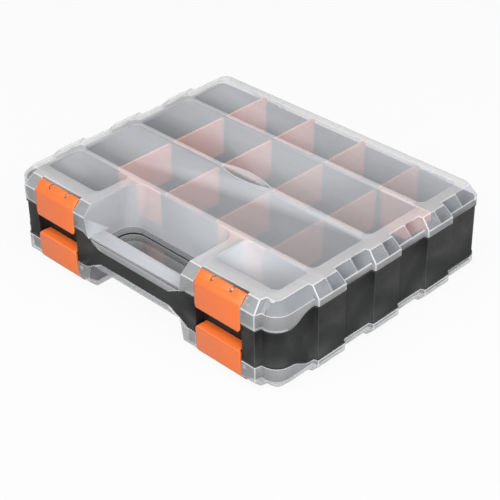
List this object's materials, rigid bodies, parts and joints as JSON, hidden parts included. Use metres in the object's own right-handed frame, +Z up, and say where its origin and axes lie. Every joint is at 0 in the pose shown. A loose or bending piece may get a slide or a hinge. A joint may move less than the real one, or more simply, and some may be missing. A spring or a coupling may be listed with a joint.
{
  "type": "double-sided parts organiser",
  "caption": "Flat carry case with compartments on both faces, a frosted hinged lid on each face, snap latches, loose dividers and a built-in handle.",
  "frame": {"origin": "middle of the underside, on the surface that the closed case lies on", "axes": "+X along the hinge line, the handle and latches face -Y, +Z up from the lower lid"},
  "size_m": [0.32, 0.26, 0.082],
  "materials": {
    "tray_black": "satin moulded",
    "lid_frosted": "frosted translucent",
    "orange_plastic": "satin moulded",
    "pin_steel": "drawn wire"
  },
  "bodies": {
    "case": {"bottom_cross_divider_1": "orange_plastic", "bottom_cross_divider_2": "orange_plastic", "bottom_cross_divider_3": "orange_plastic", "bottom_divider_1_1": "orange_plastic", "bottom_divider_1_2": "orange_plastic", "bottom_divider_1_3": "orange_plastic", "bottom_divider_1_4": "orange_plastic", "bottom_divider_2_1": "orange_plastic", "bottom_divider_2_2": "orange_plastic", "bottom_divider_2_3": "orange_plastic", "bottom_divider_2_4": "orange_plastic", "bottom_divider_3_1": "orange_plastic", "bottom_divider_3_2": "orange_plastic", "bottom_divider_3_3": "orange_plastic", "bottom_divider_3_4": "orange_plastic", "bottom_hinge_pin_left": "pin_steel", "bottom_hinge_pin_right": "pin_steel", "top_cross_divider_1": "orange_plastic", "top_cross_divider_2": "orange_plastic", "top_cross_divider_3": "orange_plastic", "top_divider_1_1": "orange_plastic", "top_divider_1_2": "orange_plastic", "top_divider_1_3": "orange_plastic", "top_divider_1_4": "orange_plastic", "top_divider_2_1": "orange_plastic", "top_divider_2_2": "orange_plastic", "top_divider_2_3": "orange_plastic", "top_divider_2_4": "orange_plastic", "top_divider_3_1": "orange_plastic", "top_divider_3_2": "orange_plastic", "top_divider_3_3": "orange_plastic", "top_divider_3_4": "orange_plastic", "top_hinge_pin_left": "pin_steel", "top_hinge_pin_right": "pin_steel", "tray": "tray_black"},
    "top_lid": {"top_latch_pin_left": "pin_steel", "top_latch_pin_right": "pin_steel", "top_lid": "lid_frosted"},
    "bottom_lid": {"bottom_latch_pin_left": "pin_steel", "bottom_latch_pin_right": "pin_steel", "bottom_lid": "lid_frosted"},
    "top_latch_left": {"top_latch_left": "orange_plastic"},
    "top_latch_right": {"top_latch_right": "orange_plastic"},
    "bottom_latch_left": {"bottom_latch_left": "orange_plastic"},
    "bottom_latch_right": {"bottom_latch_right": "orange_plastic"}
  },
  "joints": [
    {"name": "top_lid_hinge", "type": "hinge", "parent": "case", "child": "top_lid", "pos_m": [0, 0.1265, 0.0662], "axis": [-1, 0, 0], "range_deg": [0, 180]},
    {"name": "bottom_lid_hinge", "type": "hinge", "parent": "case", "child": "bottom_lid", "pos_m": [0, 0.1265, 0.0158], "axis": [1, 0, 0], "range_deg": [0, 180]},
    {"name": "top_latch_left_pivot", "type": "hinge", "parent": "top_lid", "child": "top_latch_left", "pos_m": [-0.0982, -0.1216, 0.0784], "axis": [-1, 0, 0], "range_deg": [0, 95]},
    {"name": "top_latch_right_pivot", "type": "hinge", "parent": "top_lid", "child": "top_latch_right", "pos_m": [0.0982, -0.1216, 0.0784], "axis": [-1, 0, 0], "range_deg": [0, 95]},
    {"name": "bottom_latch_left_pivot", "type": "hinge", "parent": "bottom_lid", "child": "bottom_latch_left", "pos_m": [-0.0982, -0.1216, 0.0036], "axis": [1, 0, 0], "range_deg": [0, 95]},
    {"name": "bottom_latch_right_pivot", "type": "hinge", "parent": "bottom_lid", "child": "bottom_latch_right", "pos_m": [0.0982, -0.1216, 0.0036], "axis": [1, 0, 0], "range_deg": [0, 95]}
  ]
}
